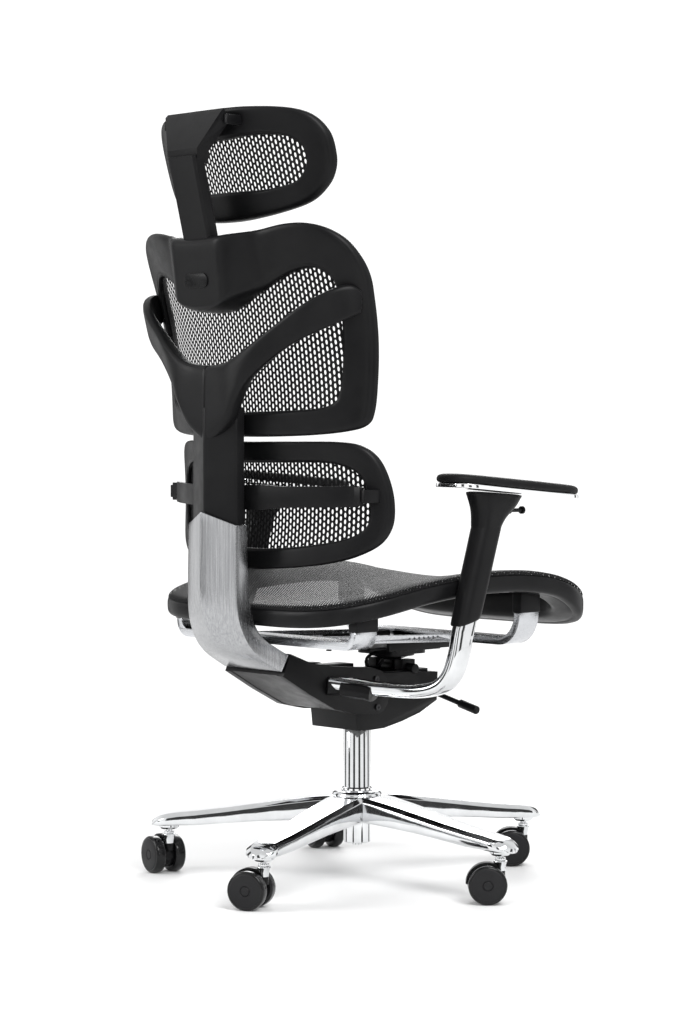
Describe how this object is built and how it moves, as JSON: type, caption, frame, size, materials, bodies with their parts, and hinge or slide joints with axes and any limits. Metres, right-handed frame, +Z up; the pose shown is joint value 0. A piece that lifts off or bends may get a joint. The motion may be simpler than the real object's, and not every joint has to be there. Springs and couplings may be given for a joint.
{
  "type": "swivel office chair",
  "caption": "Office chair with a mesh seat, a split mesh back, a mesh headrest and armrests, on a gas column and a star base with twin-wheel casters",
  "frame": {"origin": "on the floor, on the axis of the gas column", "axes": "+Z up, +Y forward, the way the sitter faces, +X to the sitter's right"},
  "size_m": [0.6496, 0.6958, 1.2095],
  "materials": {
    "black": "moulded, fine grain",
    "mesh": "woven elastic mesh",
    "alu": "polished and brushed",
    "chrome": "chrome plated",
    "steel": "ground",
    "black_metal": "black powder coat",
    "tread": "glossy hard tread",
    "hood": "chrome plated",
    "pad": "soft moulded pad",
    "bush": "plain"
  },
  "bodies": {
    "base": {"base_star": "chrome", "column_tube": "chrome", "column_bush": "bush", "thrust_bearing": "steel", "rod_clip": "steel", "caster_stems": "chrome"},
    "piston": {"piston_rod": "chrome"},
    "mechanism": {"gas_cylinder": "steel", "mech_housing": "black_metal", "mech_cover": "black", "recline_pin": "steel", "recline_springs": "steel", "seat_shaft": "black_metal"},
    "lift_lever": {"lift_lever_rod": "black_metal", "lift_lever_grip": "black"},
    "back_carrier": {"back_spine": "alu", "carrier_bracket": "black_metal", "bracket_screws": "black_metal", "arm_bar_left": "chrome", "arm_bar_right": "chrome"},
    "back_mast": {"back_yoke": "black", "upper_frame": "black", "upper_mesh": "mesh", "back_badge": "black", "lumbar_carrier": "black"},
    "lumbar": {"lumbar_frame": "black", "lumbar_mesh": "mesh"},
    "headrest_mast": {"headrest_post": "black"},
    "headrest": {"headrest_frame": "black", "headrest_mesh": "mesh"},
    "seat_slider": {"seat_carrier": "black", "release_cable": "black"},
    "seat": {"seat_subframe": "alu", "seat_frame": "black", "seat_mesh": "mesh"},
    "arm_left": {"arm_sleeve_left": "black"},
    "arm_right": {"arm_sleeve_right": "black"},
    "button_left": {"arm_button_left": "black"},
    "button_right": {"arm_button_right": "black"},
    "rest_left": {"arm_plate_left": "alu", "arm_pad_left": "pad"},
    "rest_right": {"arm_plate_right": "alu", "arm_pad_right": "pad"},
    "caster_1": {"caster_hood_1": "hood"},
    "wheel_1_left": {"wheel_1_left": "tread"},
    "wheel_1_right": {"wheel_1_right": "tread"},
    "caster_2": {"caster_hood_2": "hood"},
    "wheel_2_left": {"wheel_2_left": "tread"},
    "wheel_2_right": {"wheel_2_right": "tread"},
    "caster_3": {"caster_hood_3": "hood"},
    "wheel_3_left": {"wheel_3_left": "tread"},
    "wheel_3_right": {"wheel_3_right": "tread"},
    "caster_4": {"caster_hood_4": "hood"},
    "wheel_4_left": {"wheel_4_left": "tread"},
    "wheel_4_right": {"wheel_4_right": "tread"},
    "caster_5": {"caster_hood_5": "hood"},
    "wheel_5_left": {"wheel_5_left": "tread"},
    "wheel_5_right": {"wheel_5_right": "tread"}
  },
  "joints": [
    {"name": "seat_swivel", "type": "hinge", "parent": "base", "child": "piston", "pos_m": [0, 0, 0.06], "axis": [0, 0, 1], "continuous": true},
    {"name": "seat_lift", "type": "slide", "parent": "piston", "child": "mechanism", "axis": [0, 0, 1], "range_m": [0, 0.1]},
    {"name": "lever_lift", "type": "hinge", "parent": "mechanism", "child": "lift_lever", "pos_m": [0.061, 0.116, 0.297], "axis": [0, -1, 0], "range_deg": [0, 10], "stiffness_Nm_per_rad": 1, "springref_deg": -5.73},
    {"name": "back_recline", "type": "hinge", "parent": "mechanism", "child": "back_carrier", "pos_m": [0, -0.0215, 0.306], "axis": [1, 0, 0], "range_deg": [0, 20], "stiffness_Nm_per_rad": 60, "springref_deg": -34.38},
    {"name": "seat_tilt", "type": "hinge", "parent": "mechanism", "child": "seat_slider", "pos_m": [0, 0.077, 0.338], "axis": [1, 0, 0], "range_deg": [0, 8]},
    {"name": "seat_slide", "type": "slide", "parent": "seat_slider", "child": "seat", "axis": [0, 0.9993, -0.0374], "range_m": [0, 0.05]},
    {"name": "back_height", "type": "slide", "parent": "back_carrier", "child": "back_mast", "axis": [0, 0, 1], "range_m": [0, 0.06]},
    {"name": "lumbar_tilt", "type": "hinge", "parent": "back_mast", "child": "lumbar", "pos_m": [0, -0.192, 0.624], "axis": [1, 0, 0], "range_deg": [-5, 5], "stiffness_Nm_per_rad": 40},
    {"name": "headrest_height", "type": "slide", "parent": "back_mast", "child": "headrest_mast", "axis": [0, -0.2419, 0.9703], "range_m": [0, 0.04]},
    {"name": "headrest_tilt", "type": "hinge", "parent": "headrest_mast", "child": "headrest", "pos_m": [0, -0.3275, 1.19], "axis": [1, 0, 0], "range_deg": [-8, 20]},
    {"name": "arm_height_right", "type": "slide", "parent": "back_carrier", "child": "arm_right", "axis": [0, 0.3007, 0.9537], "range_m": [0, 0.07]},
    {"name": "arm_release_right", "type": "hinge", "parent": "arm_right", "child": "button_right", "pos_m": [0.265, 0.071, 0.5985], "axis": [1, 0, 0], "range_deg": [0, 8], "stiffness_Nm_per_rad": 0.3, "springref_deg": -5.73},
    {"name": "rest_slide_right", "type": "slide", "parent": "arm_right", "child": "rest_right", "axis": [0, 0.9962, -0.0872], "range_m": [-0.02, 0.02]},
    {"name": "arm_height_left", "type": "slide", "parent": "back_carrier", "child": "arm_left", "axis": [0, 0.3007, 0.9537], "range_m": [0, 0.07]},
    {"name": "arm_release_left", "type": "hinge", "parent": "arm_left", "child": "button_left", "pos_m": [-0.265, 0.071, 0.5985], "axis": [1, 0, 0], "range_deg": [0, 8], "stiffness_Nm_per_rad": 0.3, "springref_deg": -5.73},
    {"name": "rest_slide_left", "type": "slide", "parent": "arm_left", "child": "rest_left", "axis": [0, 0.9962, -0.0872], "range_m": [-0.02, 0.02]},
    {"name": "caster_swivel_1", "type": "hinge", "parent": "base", "child": "caster_1", "pos_m": [-0.24428, -0.19085, 0.05], "axis": [0, 0, 1], "continuous": true},
    {"name": "wheel_spin_1_left", "type": "hinge", "parent": "caster_1", "child": "wheel_1_left", "pos_m": [-0.26392, -0.18704, 0.03], "axis": [-0.1908, -0.9816, 0], "continuous": true},
    {"name": "wheel_spin_1_right", "type": "hinge", "parent": "caster_1", "child": "wheel_1_right", "pos_m": [-0.26392, -0.18704, 0.03], "axis": [-0.1908, -0.9816, 0], "continuous": true},
    {"name": "caster_swivel_2", "type": "hinge", "parent": "base", "child": "caster_2", "pos_m": [0.10603, -0.2913, 0.05], "axis": [0, 0, 1], "continuous": true},
    {"name": "wheel_spin_2_left", "type": "hinge", "parent": "caster_2", "child": "wheel_2_left", "pos_m": [0.08821, -0.30039, 0.03], "axis": [0.454, -0.891, 0], "continuous": true},
    {"name": "wheel_spin_2_right", "type": "hinge", "parent": "caster_2", "child": "wheel_2_right", "pos_m": [0.08821, -0.30039, 0.03], "axis": [0.454, -0.891, 0], "continuous": true},
    {"name": "caster_swivel_3", "type": "hinge", "parent": "base", "child": "caster_3", "pos_m": [0.30981, 0.01082, 0.05], "axis": [0, 0, 1], "continuous": true},
    {"name": "wheel_spin_3_left", "type": "hinge", "parent": "caster_3", "child": "wheel_3_left", "pos_m": [0.29617, -0.00381, 0.03], "axis": [0.7314, -0.682, 0], "continuous": true},
    {"name": "wheel_spin_3_right", "type": "hinge", "parent": "caster_3", "child": "wheel_3_right", "pos_m": [0.29617, -0.00381, 0.03], "axis": [0.7314, -0.682, 0], "continuous": true},
    {"name": "caster_swivel_4", "type": "hinge", "parent": "base", "child": "caster_4", "pos_m": [0.08545, 0.29799, 0.05], "axis": [0, 0, 1], "continuous": true},
    {"name": "wheel_spin_4_left", "type": "hinge", "parent": "caster_4", "child": "wheel_4_left", "pos_m": [0.07181, 0.28336, 0.03], "axis": [0.7314, -0.682, 0], "continuous": true},
    {"name": "wheel_spin_4_right", "type": "hinge", "parent": "caster_4", "child": "wheel_4_right", "pos_m": [0.07181, 0.28336, 0.03], "axis": [0.7314, -0.682, 0], "continuous": true},
    {"name": "caster_swivel_5", "type": "hinge", "parent": "base", "child": "caster_5", "pos_m": [-0.257, 0.17335, 0.05], "axis": [0, 0, 1], "continuous": true},
    {"name": "wheel_spin_5_left", "type": "hinge", "parent": "caster_5", "child": "wheel_5_left", "pos_m": [-0.27602, 0.17953, 0.03], "axis": [-0.309, -0.9511, 0], "continuous": true},
    {"name": "wheel_spin_5_right", "type": "hinge", "parent": "caster_5", "child": "wheel_5_right", "pos_m": [-0.27602, 0.17953, 0.03], "axis": [-0.309, -0.9511, 0], "continuous": true}
  ],
  "couplings": [
    {"joint": "seat_tilt", "follows": "back_recline", "ratio": 0.4}
  ]
}
